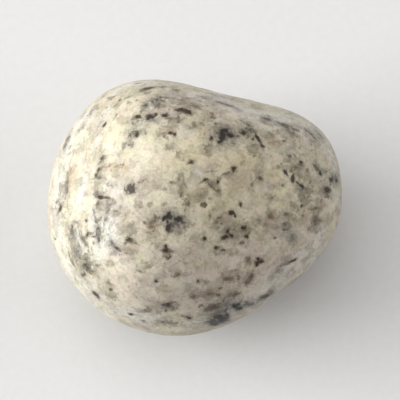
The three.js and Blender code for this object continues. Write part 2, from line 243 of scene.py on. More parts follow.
GREY_QUARTZ = [
    # Back, left of the middle.
    (-12, 7, 1.6, 0.5, 50), (-10.6, 9, 1.6, 0.5, 45), (-6.4, 8, 0.8, 0.5, 0), (-3.8, 9.5, 1.6, 0.8, 0),
    (-3.6, 6.9, 1.6, 0.9, 40), (-3, 5.3, 1.1, 0.9, 0), (-3, 9.9, 1.4, 0.8, -8), (-2.6, 7.2, 1.2, 0.6, 0),
    (-2.6, 7.9, 1.4, 0.8, 0), (-2, 9, 1.6, 0.9, 0), (-0.9, 9.6, 2.4, 0.8, -10), (-0.6, 10, 2.2, 0.7, -12),
    (-0.4, 7.4, 1.2, 0.9, 0),
    # Back, right of the middle.
    (1.2, 5.2, 1.7, 0.9, 0), (6.5, 7.7, 2, 0.5, -22), (7, 6.4, 1.6, 0.8, 0), (7.5, 5.6, 1, 0.8, 0),
    (8.6, 6.6, 2.4, 1, -15), (9, 7.3, 2, 0.7, -15), (10.9, 6.6, 1.4, 0.8, -35), (11.2, 6.2, 2.2, 1, -40),
    # Left flank.
    (-14, 0.2, 1.1, 0.5, 60), (-13.9, -1.8, 1.4, 0.6, 88), (-13.9, 1.2, 1.6, 0.5, 85),
    (-13.3, 1.4, 2.2, 0.5, 82), (-12.7, 3, 1.2, 0.5, 55), (-12.4, -4.6, 3.4, 1.4, -82),
    (-11.7, -4.1, 1.3, 0.6, -57), (-11.5, -5.7, 1.2, 0.8, 0), (-10.35, 1.2, 1.6, 0.5, 85),
    (-10.1, 2.6, 1.8, 0.6, 75), (-10, -0.5, 0.7, 0.9, 0), (-9.9, -7.9, 1, 0.7, 0), (-9.9, 3.7, 1, 0.5, 60),
    # The grey patches round (-9, -0.7) are partly painted shadow under the nick in the ridge.
    (-9.55, -2.5, 1.3, 0.22, 80), (-9.2, -0.5, 1, 1.3, 80), (-9.15, -3, 1.2, 0.18, 76),
    (-8.9, -6.4, 1.2, 0.7, 0), (-8.9, -0.9, 1.6, 1.1, 0), (-8.9, 1.4, 1.4, 1, 0), (-8.9, 3.25, 2.2, 0.7, 12),
    (-8.7, -1.3, 1.3, 0.9, 0), (-8.7, -0.5, 1.2, 0.8, 0), (-8.6, -5.3, 0.9, 0.6, 0),
    # Right end.
    (6.6, -2.3, 0.9, 0.7, 0), (6.7, 0.6, 0.6, 0.5, 0), (7.15, -1.6, 1.2, 0.95, -20), (7.5, -2.7, 0.8, 0.7, 0),
    (7.9, -1.9, 1.2, 0.9, 0), (8.5, -2.6, 1.2, 0.9, 0), (8.7, 4, 0.8, 0.6, 0), (8.75, -1.5, 1.2, 0.8, 0),
    (8.9, 3.2, 1.2, 1, 0), (9.2, 4.1, 1.2, 0.9, -40), (9.3, -0.6, 1.2, 0.9, 0), (9.9, 3.3, 1.7, 1.1, -20),
    (10.3, 2.6, 2, 1.1, -50), (10.4, 0, 1.6, 0.8, -50), (10.5, 4.5, 0.8, 0.5, 0), (10.7, 0.9, 1.2, 0.8, 0),
    (11.4, -2.9, 1.3, 0.7, 0), (11.6, -2.1, 1.3, 1.1, 80), (11.6, -0.9, 1.1, 0.8, 0),
    (12.3, -0.3, 0.8, 0.8, 0), (12.3, 0.9, 1, 1.2, 0),
    # Broad top, left of the middle.
    (-7.3, -2.9, 1.8, 1.3, 0), (-7, -4.3, 1.4, 0.6, -20), (-6.2, -0.45, 0.8, 0.9, 0),
    (-5.9, 1.9, 0.8, 0.4, 20), (-5, -0.5, 0.6, 0.5, 0), (-4.8, -2.3, 1.2, 1, 0), (-4.6, -3.4, 1.2, 0.9, 0),
    (-4.6, -2.3, 1.5, 1.3, 0), (-4.2, -4.3, 1.4, 1.1, 0), (-4.2, 1.6, 1.1, 1, 0), (-3.6, 1.1, 0.6, 0.5, 0),
    (-2.9, 1.6, 0.7, 0.6, 0), (-2.4, -2.8, 1.8, 1, -10), (-2, 0.9, 0.9, 0.6, 85), (-2, 2.4, 1, 0.7, 85),
    (-1.95, 1.6, 2.7, 0.76, -82), (-1.9, 4.3, 1.1, 0.8, 0), (-1.25, -0.1, 1.2, 0.7, 85),
    (-0.4, 0.1, 1.2, 1.1, 0),
    # Broad top, right of the middle.
    (0.35, -0.45, 0.8, 0.6, 0), (0.4, 0.4, 1.9, 1, 72), (0.55, 0.75, 1, 0.8, 80), (0.8, 4.7, 0.9, 0.7, 0),
    (1.3, -1.4, 1.3, 0.9, 75), (1.4, 1.4, 1.5, 1.1, -40), (1.9, 0.7, 1, 0.9, 0), (1.95, -2.1, 1.1, 1, 0),
    (2, -4.9, 1.2, 0.7, -15), (2.1, -2.3, 1.8, 1.5, 30), (2.6, 2.5, 1, 0.6, 30), (3.1, -3.6, 2.6, 1.7, 0),
    (3.3, 2.2, 1.3, 1, 0), (3.4, -2.6, 1.8, 0.5, 0), (3.9, -2.4, 2.2, 0.8, 0), (4.2, -4.4, 0.8, 0.6, 0),
    (4.3, 3.6, 0.7, 0.6, 0), (4.4, -3.2, 1.2, 1.5, 0), (5.3, 5, 1.4, 1.1, 0), (5.6, -2.1, 1.2, 0.9, 0),
    (5.8, 3.1, 1.4, 1, 0),
    # Front, left of the middle.
    (-9.4, -8.5, 1.5, 1.1, -30), (-9.2, -8.6, 1.6, 1.2, -20), (-9, -9.4, 1.4, 1, -30),
    (-7.2, -5, 1.6, 0.9, -15), (-6, -11, 1.2, 0.6, -15), (-5.6, -6.5, 1.4, 0.9, 0), (-5.2, -11, 1.1, 0.7, 0),
    (-4.9, -11.1, 2.2, 0.8, -5), (-4.6, -10.7, 1.6, 0.9, 0), (-4.3, -10.6, 2.2, 1, 0),
    (-3.8, -10.7, 3, 1.2, 0), (-3.4, -10.9, 1.6, 0.8, 0), (-3.3, -5.5, 0.8, 0.8, 0),
    (-3.2, -12.4, 2.4, 0.8, 0), (-2.3, -7.4, 0.9, 0.6, 30), (-1.4, -7.4, 0.9, 0.4, 0),
    (-0.5, -9.5, 1.1, 1.1, 0),
    # Front, right of the middle.
    (0.4, -8.2, 1.2, 0.8, 0), (0.9, -9.4, 2, 1, 0), (1.9, -5.2, 1.2, 0.6, 0), (3.1, -7.7, 2.2, 1.3, 0),
    (3.3, -5.2, 1.2, 0.8, 0), (3.5, -9.45, 1.1, 0.45, 15), (4.85, -6.1, 0.8, 0.9, 0),
    (4.9, -7.9, 1.6, 0.9, 60), (7.9, -7, 1.4, 0.8, 30),
]
WARM_STAINS = [
    # Back, left of the middle.
    (-9, 9.9, 2, 0.6, 40), (-2.8, 7, 0.9, 0.4, 0),
    # Back, right of the middle.
    (7.5, 5.6, 1.2, 0.9, 0),
    # Left flank.
    (-12.9, 2.6, 0.9, 0.5, 70), (-12.7, 3.2, 1, 0.5, 55), (-12.6, 2.2, 2, 0.7, 78),
    (-12.5, -6.4, 1, 0.36, -50), (-8.8, 3.3, 2.6, 0.8, 12),
    # Right end.
    (7.2, -1.7, 1.2, 0.9, 0),
    # Broad top, left of the middle.
    (-7.7, 3.5, 1, 0.8, 0), (-7.6, 3.1, 0.9, 0.5, 0), (-6.9, -4.3, 1.3, 0.8, 0), (-4.8, -2.5, 0.9, 0.6, 0),
    # Broad top, right of the middle.
    (0.9, 3.5, 1.8, 1.1, 5), (1.2, 4, 1, 0.6, 0), (3, 1.7, 0.8, 0.6, 0), (3.7, 1.4, 1.1, 0.7, 80),
    (4.3, 1.7, 1.6, 1.1, 0), (4.5, 2.7, 1.4, 0.9, 0),
    # Front, left of the middle.
    (-12.5, -8.2, 0.9, 0.4, -45),
]
# Paler rock, and on the left flank a painted highlight.
PALE_AND_HIGHLIT_CLOUDS = [
    # Back, left of the middle.
    (-8.6, 5.2, 3.2, 1.6, 85), (-7.7, 7.6, 3, 1.4, 65), (-7.3, 8.6, 2, 1.2, 60), (-7.2, 5.4, 1.2, 0.8, 0),
    (-7.2, 6.9, 1.4, 1.2, 0), (-7.2, 8.4, 1.6, 1.2, 60), (-6.9, 8.9, 2.6, 2.2, 60), (-6.3, 9.6, 2.6, 1.1, 42),
    (-4.7, 10.7, 2, 0.7, 12), (-0.5, 5.6, 2.4, 1.4, 0),
    # Back, right of the middle.
    (3.4, 8.5, 4.6, 1.3, -12), (4.8, 8, 3.6, 1, -15), (7.8, 7, 1.6, 1, -20), (9.2, 7.4, 2.6, 1, -25),
    # Left flank.
    # (-9.9, -5.1) and (-9.9, -4.9) are a painted highlight, where the window's reflection is brightest.
    (-13.6, -4, 2.6, 0.9, -80), (-12.2, -0.4, 2.2, 1.6, 80), (-9.9, -5.1, 2, 2, 80),
    (-9.9, -4.9, 1.8, 2.2, 0), (-9, -6.4, 2, 1.2, 0), (-8.9, 1.1, 1.6, 1.3, 0),
    # Right end.
    (7.6, 4, 1.6, 1.2, 0), (7.8, -0.5, 1.8, 1, 0), (7.8, 2.4, 1.6, 1.4, 0), (8, 0.8, 2.6, 1.6, 0),
    (10.5, -3.8, 3, 2, 60), (10.9, -4.6, 3.2, 1.4, 50), (13, -0.8, 1.8, 1, 80),
    # Broad top, left of the middle.
    (-8, 1.1, 1.8, 1.4, 0), (-7.2, 2.4, 1.6, 1.3, 0), (-6.4, 2.6, 3, 1.6, 0), (-5.6, 4.8, 5.5, 3.2, 5),
    (-5.2, -0.2, 2, 1, 0), (-2, -4.5, 1.8, 1.2, 0), (-1.8, 4.4, 4.5, 2.2, 0), (-1.2, 2.4, 1.6, 1, 0),
    # Broad top, right of the middle.
    (0, -3, 2.6, 1.6, 0), (0, 1.9, 1.6, 1.8, 0), (0, 2.8, 2.4, 2.6, 0), (0.4, 3, 3, 1.6, 0),
    (0.6, 3.6, 3.4, 1.8, 0), (1, 3.35, 2.2, 1.2, 5), (1.6, -0.4, 3, 1.6, 0), (1.8, -3.5, 1.4, 1.2, 0),
    (1.8, 2.4, 1.6, 1.2, 0), (2.8, 4.1, 4.5, 1.6, -5), (3.2, -0.4, 2.2, 1.4, 0), (4.6, 0.4, 3, 1, 0),
    (4.6, 4.6, 2.2, 1.6, 0), (5, -1.6, 3, 1.2, 0), (6, 3.6, 3, 1.8, 0),
    # Front, left of the middle.
    (-8, -7.8, 3.2, 4, 0), (-7.2, -6.5, 1.6, 1.2, 0), (-6.7, -10.6, 3.4, 1.8, -25), (-6, -7.4, 2, 1.6, 0),
    (-4, -9.3, 1.8, 1.2, 0), (-3, -13, 3.6, 0.7, 0),
    # Front, right of the middle.
    (2.3, -7.6, 2.6, 1, 0), (3.6, -6.4, 2.6, 1.4, 0), (4.8, -9.2, 2.6, 0.9, 15), (5, -8.8, 2.4, 1, 20),
    (6.7, -8.3, 3, 1.4, 30), (7.5, -5, 4, 2, 20),
]
YELLOW_CLOUDS = [
    # Back, left of the middle.
    (-9.5, 6, 4, 2, 55), (-1.8, 9.4, 2.6, 1, -8), (-0.8, 7.6, 3.4, 2, -5), (-0.7, 6.8, 3.8, 2.6, 0),
    # Right end.
    (8.5, 0.4, 5, 2, 0), (8.5, 2.2, 5, 3.4, -30),
    # Broad top, left of the middle.
    (-7.4, -4.3, 0.9, 0.6, 0), (-0.6, 3.9, 6, 3.2, 5),
    # Broad top, right of the middle.
    (1, 0.6, 5, 3.6, 0), (4.2, 3.9, 5, 2.4, -10),
]
DULL_CLOUDS = [
    # Back, left of the middle.
    (-2.6, 8.4, 2.6, 1.4, 0), (-1.9, 7.1, 2.2, 1.2, 0), (-1.9, 9.8, 3.4, 2.2, -8), (-1.6, 10.3, 4, 0.9, -10),
    (-0.8, 9.8, 3.6, 1.6, -12),
    # Back, right of the middle.
    (4, 8.9, 8, 1.6, -15), (9.6, 7, 4.5, 1.5, -25), (10.9, 7, 1.6, 1, -35),
    # Left flank.
    # (-8.8, -0.7) and (-8.8, -0.4) are partly painted shadow under the nick in the ridge.
    (-13.3, 0.8, 1.4, 0.5, 85), (-8.8, -0.7, 1.4, 1.3, 0), (-8.8, -0.4, 1.6, 1.6, 0),
    (-8.6, 1.2, 1.6, 1.4, 0),
    # Right end.
    (6.7, 1.5, 1.2, 1.1, 0), (7, -2, 3, 1.2, 0), (8.3, -3.3, 3, 2.5, 0), (11, -4.2, 4, 3, 60),
    (12.2, 0.3, 1.6, 1.4, 0),
    # Broad top, left of the middle.
    (-7.3, -4.9, 2, 1.2, -10), (-2.6, -2.8, 0.9, 0.9, 0),
    # Broad top, right of the middle.
    (3.2, -3.4, 1.6, 1.2, 0),
    # Front, left of the middle.
    (-7.6, -5.4, 2.6, 1.2, -20), (-5.2, -9.6, 3, 2.2, -20), (-5, -11.1, 3, 1.1, -10), (-2, -5.5, 6, 2.5, 0),
    (-1.5, -9, 10, 5.5, 0),
    # Front, right of the middle.
    (3, -10.9, 2.6, 1, 10), (3.5, -9.8, 7, 4, 12), (4, -5.5, 6, 3, 0), (7.4, -7.2, 7, 4.2, 35),
    (9.3, -6.5, 1.6, 1.2, 30),
]
# Painted sheen: pale grey where the slopes and rims reflect the bright room, and over the broad highlight on
# the left flank.
PAINTED_SHEEN = [
    # Back, left of the middle.
    (-13.2, 5.2, 3.5, 1.2, 65), (-11.6, 8, 3, 1.2, 50), (-10.2, 5.9, 2.4, 0.5, 60), (-9.4, 8.6, 2.6, 0.6, 50),
    (-8.5, 10.6, 3, 0.9, 30), (-4.5, 11.7, 3.5, 0.6, 5),
    # Back, right of the middle.
    (0.4, 10.3, 3.5, 0.8, -14), (3.6, 9.7, 4.5, 0.7, -16), (4, 9.1, 4.5, 1.4, -17), (5.2, 8.9, 4, 1.1, -17),
    (5.6, 8.9, 3, 1, -17), (7, 7.5, 1.8, 0.6, -16), (7.6, 8.1, 4.5, 1.8, -18), (8.4, 8.3, 3, 1, -20),
    (10.6, 7.1, 3.5, 1.7, -35), (12.7, 5.2, 3, 1, -62),
    # Left flank.
    (-14.3, -5, 3, 0.8, -70), (-14.1, -3, 4, 1.2, -80), (-14.1, 1.4, 5, 1.3, 82), (-13.3, -7.2, 3, 0.8, -58),
    (-13, -6.6, 3, 1.1, -60), (-12, -4.6, 1.4, 0.6, -65), (-11.8, 0.6, 3, 0.6, 80),
    (-10.8, -2.2, 2.4, 0.8, 85), (-10.1, -5, 2.4, 1.8, 80), (-9.1, -2.9, 2.6, 1.6, 78),
    (-8.8, -3.6, 1.8, 1.2, 60),
    # Right end.
    (11.8, -4, 3, 1.4, 60), (13.5, 3, 2.6, 0.9, -80), (13.6, 0.4, 2.6, 0.7, 90),
    # Broad top, left of the middle.
    (-8.2, 1.1, 1.3, 0.9, -10), (-0.4, 2.9, 1.6, 1.3, 0),
    # Broad top, right of the middle.
    (0.8, 3.4, 1.6, 0.9, 0),
    # Front, left of the middle.
    (-12.6, -8, 3, 1, -55), (-11.8, -9.2, 2.6, 0.8, -48), (-11, -8.8, 4, 1.4, -45), (-8.6, -11, 3, 1, -30),
    (-6, -11.6, 5, 1.5, -15),
    # Front, right of the middle.
    (0, -12.3, 5, 0.9, 5), (5, -10.3, 3, 1.1, 20), (7.4, -8.6, 4, 1.7, 35), (8, -7.2, 3, 1.2, 30),
    (8.2, -8.2, 3, 0.9, 38), (10, -6.2, 4, 1.8, 40), (11.6, -5.6, 3, 1, 50),
]
# Painted highlights: bluish-white glints of the window's light on the polish, most of them on the left flank.
PAINTED_HIGHLIGHTS = [
    # Back, left of the middle.
    (-6.45, 7.75, 0.26, 0.2, 0), (-6, 8, 0.24, 0.16, 0), (-5.9, 7.45, 0.3, 0.2, 0),
    (-5.85, 7.25, 0.26, 0.18, 0), (-5.8, 7.7, 0.32, 0.22, 0), (-5.5, 7.9, 0.22, 0.18, 0),
    (-5.25, 9, 0.34, 0.22, 30), (-4.95, 9.55, 0.2, 0.16, 0), (-4.85, 9.15, 0.3, 0.24, 0),
    (-4.55, 9.75, 0.2, 0.16, 0), (-4.5, 9.35, 0.22, 0.18, 0), (-3.7, 10.05, 0.24, 0.16, 0),
    (-3.3, 9.95, 0.3, 0.16, 0),
    # Left flank.
    (-12.3, -3.2, 0.8, 0.16, -80), (-12.05, -4.3, 1.3, 0.22, -62), (-10.8, -6.7, 0.3, 0.26, 0),
    (-9.8, -2.6, 1.2, 0.16, 82), (-9.6, 0.95, 0.4, 0.2, 30), (-9.4, -4, 1, 0.24, 62),
    (-9.25, -2.7, 1.1, 0.18, 70), (-8.95, -3.4, 0.9, 0.16, 70), (-8.9, -2, 0.6, 0.14, 50),
    (-8.5, -3.1, 0.6, 0.12, 60),
    # Front, left of the middle.
    (-4.3, -12.85, 0.5, 0.24, 0),
]

# Low relief on the sides in view: ovals, as above, each with how far it rises in its middle. That is below 0
# for a hollow.
HOLLOWS = [
    # A nick in the ridge on the left flank, and the pale swell over it.
    (-9.6, 0.25, 1.5, 0.4, -5, -0.12), (-8.9, 1, 1.8, 1.4, 0, 0.06),
    # The patch of clear rock at the far left is sunk a little.
    (-12.3, -4.2, 4.4, 2.2, -80, -0.12), (-11.3, -6.3, 1.8, 1.6, 0, -0.08), (-11.2, -3.4, 1.2, 0.6, 0, 0.05),
    # The saddle in the long slope at the back.
    (-0.4, 10, 4.6, 2.4, -14, -0.14), (5, 9.5, 8.5, 2.4, -16, -0.3),
    # Shallow dimples and swells on the broad top.
    (1.6, 1.5, 4.2, 2, 42, -0.1), (4.6, 0.7, 3.6, 2.4, 30, 0.06), (2.9, -3.3, 3.4, 2.6, 10, -0.12),
    (-3.3, -5.1, 1.2, 1.4, 0, -0.04), (7.2, -1.7, 1.6, 1.4, 0, -0.04), (-6.9, -4.2, 1.6, 1.1, 0, -0.05),
    (-2.9, -2, 2.6, 1.8, 0, -0.06), (10.6, 1.6, 3.4, 2.4, -60, -0.08), (-5.2, 4.6, 4, 3, 0, 0.06),
]

# Crests, each with how far it slopes off to the left and to the right of its line as one follows it, then the
# line's points: across, up and height.
CRESTS = [
    # The arch at the back left, steep on its inner side.
    (2.4, 0.8, [(-8.3, 4.4, 0), (-7.7, 6.2, 0.16), (-6.8, 8, 0.26), (-5.7, 9.5, 0.28), (-4.3, 10.4, 0.22),
                (-2.4, 10.9, 0)]),
    # The ridge on the left flank, steep towards the stone's middle.
    (0.5, 2, [(-9.3, 5.2, 0), (-10.1, 3.6, 0.14), (-10.5, 2, 0.17), (-10.5, 0.4, 0.17), (-10.4, -1.2, 0.14),
              (-9.9, -3.4, 0)]),
    # The foot of the long slope at the back.
    (0.9, 2.2, [(-2.4, 10.4, 0), (0.4, 9.5, 0.12), (3.6, 8.7, 0.15), (6.8, 7.8, 0.15), (9.6, 6.8, 0.12),
                (12, 5, 0)]),
    # The edge between the broad top and the left flank, low down.
    (2.6, 1.2, [(-8.4, -6, 0), (-8.2, -7.5, 0.08), (-7, -9.2, 0.1), (-5, -10, 0)]),
]

# Every kind of mark, named as the attribute that holds it: its own list, and how many of it a square
# centimetre of the sides out of view gets, with the shortest and the longest.
MARKS = {
    "black_grain": (BLACK_GRAINS, 13, 0.25, 1),
    "brown_grain": (BROWN_GRAINS, 18, 0.25, 1.3),
    "smoky_halo": (SMOKY_HALOES, 0, 0, 0),
    "grey_quartz": (GREY_QUARTZ, 9, 0.7, 2.2),
    "warm_stain": (WARM_STAINS, 2.5, 0.9, 2.4),
    "pale_cloud": (PALE_AND_HIGHLIT_CLOUDS, 1.2, 1.8, 5),
    "yellow_cloud": (YELLOW_CLOUDS, 0.6, 3, 6),
    "dull_cloud": (DULL_CLOUDS, 0.9, 3, 8),
    # Painted sheen is scattered over the sides out of view as well.
    "ashen_cloud": (PAINTED_SHEEN, 0.9, 2, 5),
    # Painted highlights are scattered over the sides out of view as well.
    "white_glint": (PAINTED_HIGHLIGHTS, 0.8, 0.3, 1.2),
}

# The marks out of view. Ranges run from least to most, and lengths are in millimetres.
LEAST_IN_VIEW = 0.12  # they lie where the surface faces the camera by less: 1 is straight on, 0 is sideways
SCATTERED_WIDTH = (0.35, 0.95)  # as a share of the mark's length
SCATTERED_HALOES = 14
HALO_LENGTH = (1.0, 2.2)
HALO_WIDTH = (0.8, 1.2)
HALO_DEPTH = 0.15  # at least so deep inside a black grain lies a halo's middle

# An oval whose lesser radius is a millimetre counts as this deep in its middle, and the depth grows only with
# this power of that radius. So a small oval has a steep edge and stays whole, and a large one grows ragged.
MIDDLE_DEPTH = 0.42  # millimetres
DEPTH_POWER = 0.3
MOST_STRETCH = 2  # by which an oval is lengthened, where the surface leans away

# The relief. Swells and ripples are sums of so many waves, each of about this length.
WAVE_SPREAD = (0.7, 1.4)  # shortest and longest wave, as a share of that
SWELL_WAVES = 14
SWELL_LENGTH = 7 * MM
RIPPLE_WAVES = 24
RIPPLE_LENGTH = 1.6 * MM
PIT_WALL = 0.12 * MM  # how far a pit's wall reaches, across the edge of its grain
PIT_AT_EDGE = 0.4  # share of the pit's depth that it has at the edge of its grain
CREST_FADE = 0.3  # crests fade out where the surface faces the camera by less than this
LEVEL_BELOW = 0.6 * MM  # all relief fades out below this height over the floor

# The lights: colour, width and height in metres, then azimuth and elevation in degrees. The power of each is
# the stage's property of the same name.
LIGHTS = {
    "window": ((0.97, 0.99, 0.985), 0.60, 0.34, 176, 15),
    "ceiling": ((1.0, 0.99, 0.985), 1.10, 0.90, 150, 66),
    "wall": ((1.0, 0.985, 0.975), 0.80, 0.60, 5, 35),
}
LIGHT_DISTANCE = 0.8  # metres, as the floor's radius
FLOOR_RADIUS = 1.5
FLOOR_DROP = 0.01 * MM  # keeps the floor just clear of the stone's flat
AIM_ACROSS = 0.54  # millimetres from the stone's middle to the point that the camera looks at
AIM_UP = 0.45


def colour_property(name, description, red, green, blue):
    return bpy.props.FloatVectorProperty(
        name=name, description=description, subtype="COLOR", size=4, default=(red, green, blue, 1))


def length_property(name, description, default):
    return bpy.props.FloatProperty(
        name=name, description=description, default=default, unit="LENGTH", precision=5)


def power_property(name, description, default):
    return bpy.props.FloatProperty(name=name, description=description, default=default, unit="POWER")


class JasperShape(bpy.types.PropertyGroup):
    """How finely the stone is divided, and the low relief that tumbling left on it."""

    levels: bpy.props.IntProperty(
        name="Levels", description="Times the worked solid's faces are divided and smoothed",
        default=2, min=0, max=2)
    swell: length_property("Swell", "Height of the soft swells between the worn faces", 0.06 * MM)
    ripple: length_property("Ripple", "Height of the small unevenness that polishing left", 0.012 * MM)
    pit: length_property("Pit", "Depth to which the dark grains are plucked out", 0.035 * MM)
    furthest_mark: length_property(
        "Reach of marks", "How far from a mark its attribute is worked out", 1.5 * MM)
    seed: bpy.props.IntProperty(
        name="Seed", description="Start of the scatter over the sides out of view", default=11)


class JasperColours(bpy.types.PropertyGroup):
    """Colours of the rock's minerals, of the painted highlights and painted sheen, and its polish."""

    cream: colour_property("Cream feldspar", "Main colour of the rock", 0.520, 0.468, 0.345)
    yellow: colour_property("Yellow feldspar", "Cream with some yellow in it", 0.528, 0.462, 0.304)
    dull: colour_property("Dull feldspar", "Cream with some grey and pink in it", 0.476, 0.406, 0.345)
    white: colour_property("White feldspar", "Paler grains in the cream", 0.620, 0.575, 0.455)
    # Painted sheen: the pale grey of the bright room reflected on the slopes and rims.
    painted_sheen_colour: colour_property("Painted sheen", "Pale grey that clouds the slopes", 0.655, 0.652, 0.620)
    quartz: colour_property("Grey quartz", "Translucent grey-beige grains", 0.190, 0.160, 0.108)
    black: colour_property("Black grains", "Dark needles and spots", 0.034, 0.020, 0.010)
    ink: colour_property("Inky grains", "Black grains inside the smoky haloes", 0.017, 0.017, 0.017)
    brown: colour_property("Brown grains", "Dark grains that lie just under the surface", 0.082, 0.058, 0.034)
    smoke: colour_property(
        "Smoky haloes", "Tint that dark grains give the clear rock round them", 0.080, 0.088, 0.088)
    warm: colour_property("Warm stains", "Faint rust and tan in the cream", 0.45, 0.32, 0.20)
    # Painted highlights: the colour of the window's glints on the polish.
    painted_glint: colour_property(
        "White glints", "Painted highlights where the window glints on the polish", 0.74, 0.76, 0.75)
    polish: bpy.props.FloatProperty(
        name="Roughness", description="Roughness of the polished rock", default=0.52, min=0, max=1)
    clearness: bpy.props.FloatProperty(
        name="Clearness", description="Share of the light that passes through the rock's skin",
        default=0.15, min=0, max=1)


class JasperStage(bpy.types.PropertyGroup):
    """The floor, the light and the camera."""

    floor_colour: colour_property("Floor", "Colour of the floor", 0.728, 0.720, 0.718)
    sky: bpy.props.FloatProperty(
        name="Fill", description="Strength of the even light from all round", default=0.225)
    window: power_property("Window", "Power of the low, broad light from the left", 9.85)
    ceiling: power_property("Ceiling", "Power of the high, very soft light from the back left", 4.05)
    wall: power_property("Wall", "Power of the weak light thrown back from the right", 2.25)
    camera_elevation: bpy.props.FloatProperty(
        name="Camera elevation", description="Angle that the camera looks down by",
        default=math.radians(75), subtype="ANGLE")
    camera_distance: length_property("Camera distance", "From the camera to the stone's middle", 0.23)
    view_width: length_property(
        "View width", "What the camera's view takes in at the stone's middle", 40 * MM)


def view_axes(stage):
    """Across, up and towards the camera, for a camera in front of the stone that looks down on it."""
    rise = stage.camera_elevation
    return (Vector((1, 0, 0)), Vector((0, math.sin(rise), math.cos(rise))),
            Vector((0, -math.cos(rise), math.sin(rise))))


def point_looked_at(stage):
    """The stone stands a little left of and below the middle of the view."""
    across, up, _ = view_axes(stage)
    middle = (SOLID_BOX[0] + SOLID_BOX[1]) / 2
    return middle + across * AIM_ACROSS * MM + up * AIM_UP * MM


def smooth_copy(solid, levels):
    """The solid's triangles joined at their corners, divided and smoothed into one mesh."""
    joined = bmesh.new()
    joined.from_mesh(solid.data)
    bmesh.ops.remove_doubles(joined, verts=joined.verts, dist=0.001 * MM)
    draft = bpy.data.meshes.new("draft")
    joined.to_mesh(draft)
    joined.free()
    carrier = bpy.data.objects.new("draft", draft)
    bpy.context.collection.objects.link(carrier)
    rounding = carrier.modifiers.new("rounding", "SUBSURF")
    rounding.levels = rounding.render_levels = levels
    bpy.context.view_layer.update()
    seen = carrier.evaluated_get(bpy.context.evaluated_depsgraph_get())
    mesh = bpy.data.meshes.new_from_object(seen)
    bpy.data.objects.remove(carrier)
    bpy.data.meshes.remove(draft)
    mesh.name = PIECE
    return mesh


def vectors_of(mesh, attribute):
    """The place ("co") or the normal ("normal") of every corner, as rows."""
    values = np.empty(len(mesh.vertices) * 3)
    mesh.vertices.foreach_get(attribute, values)
    return values.reshape(-1, 3)


def oval_on(places, spot, normal, towards, up, length, width, turn, reach):
    """The corners near a spot, and how far out each lies in an oval laid on the surface round it: 0 in the
    middle, 1 on its edge. The oval has its length and width as seen from one side."""
    near = np.flatnonzero(np.abs(places - spot).max(axis=1) < reach + length)
    offset = places[near] - spot
    across = np.cross(up, towards)
    # A surface that leans away is seen foreshortened, so the oval is longer on it.
    lean = normal - towards * normal.dot(towards)
    if np.linalg.norm(lean) < 0.01:
        lean = up
    lean = lean / np.linalg.norm(lean)
    level = np.cross(towards, lean)
    slope = np.cross(level, normal)
    squeeze = max(float(normal.dot(towards)), 1 / MOST_STRETCH)
    seen = np.outer(offset @ slope * squeeze, lean) + np.outer(offset @ level, level)
    cos, sin = math.cos(math.radians(turn)), math.sin(math.radians(turn))
    along = seen @ (across * cos + up * sin) / (length / 2)
    beside = seen @ (up * cos - across * sin) / (width / 2)
    below = offset @ normal / (length / 2)
    return near, np.sqrt(along ** 2 + beside ** 2 + below ** 2)


class View:
    """Finds the spot on a mesh that the camera sees at a place given in millimetres across and up."""

    def __init__(self, mesh, places, stage):
        corners = [Vector(place) for place in places]
        self.tree = BVHTree.FromPolygons(corners, [tuple(face.vertices) for face in mesh.polygons])
        self.across, self.up, self.towards = view_axes(stage)
        self.aim = point_looked_at(stage)
        self.eye = self.aim + self.towards * stage.camera_distance

    def spot_at(self, right, rise):
        """The spot and the way it faces, then the way to the camera and the camera's up."""
        through = self.aim + self.across * right * MM + self.up * rise * MM
        spot, normal, _, _ = self.tree.ray_cast(self.eye, (through - self.eye).normalized())
        if spot is None:
            raise RuntimeError(f"the place {right}, {rise} lies beside the stone")
        return tuple(np.array(v) for v in (spot, normal, self.towards, self.up))

    def places_of(self, places):
        """Where the camera sees these places, in millimetres across and up."""
        offset = places - np.array(self.aim)
        distance = (self.eye - self.aim).length
        nearness = distance / (distance - offset @ np.array(self.towards)) / MM
        return np.stack([offset @ np.array(axis) * nearness for axis in (self.across, self.up)], axis=1)


class MarkField:
    """How deep each corner of the mesh lies inside the marks of one kind, in metres. Below 0 outside them."""

    def __init__(self, places, reach):
        self.places = places
        self.reach = reach
        self.depth = np.full(len(places), -reach)

    def add(self, spot, normal, towards, up, length, width, turn):
        near, share = oval_on(self.places, spot, normal, towards, up, length, width, turn, self.reach)
        lesser_radius = min(length, width) / 2 / MM
        inside = (1 - share) * MIDDLE_DEPTH * MM * lesser_radius ** DEPTH_POWER
        self.depth[near] = np.maximum(self.depth[near], inside)


def scatter_mark(field, normals, hidden, chance, shortest, longest):
    """Draws a mark anywhere on the stone, and lays it if that is out of view."""
    i = chance.randrange(len(normals))
    length = shortest * (longest / shortest) ** chance.random()
    width = length * chance.uniform(*SCATTERED_WIDTH)
    turn = chance.uniform(0, 180)
    if not hidden[i]:
        return
    sideways = np.cross(normals[i], [0, 0, 1.0])
    if np.linalg.norm(sideways) < 0.1:
        sideways = np.array([0, 1.0, 0])
    field.add(field.places[i], normals[i], normals[i], sideways / np.linalg.norm(sideways),
              length * MM, width * MM, turn)


def scatter_haloes(haloes, black_grains, normals, hidden, chance):
    """Lays a halo round some of the black grains out of view."""
    dark = np.flatnonzero(hidden & (black_grains.depth > HALO_DEPTH * MM))
    for i in chance.sample(list(dark), min(SCATTERED_HALOES, len(dark))):
        haloes.add(haloes.places[i], normals[i], normals[i], np.cross(normals[i], [0.6, 0.8, 0]) + 1e-6,
                   chance.uniform(*HALO_LENGTH) * MM, chance.uniform(*HALO_WIDTH) * MM, 0)


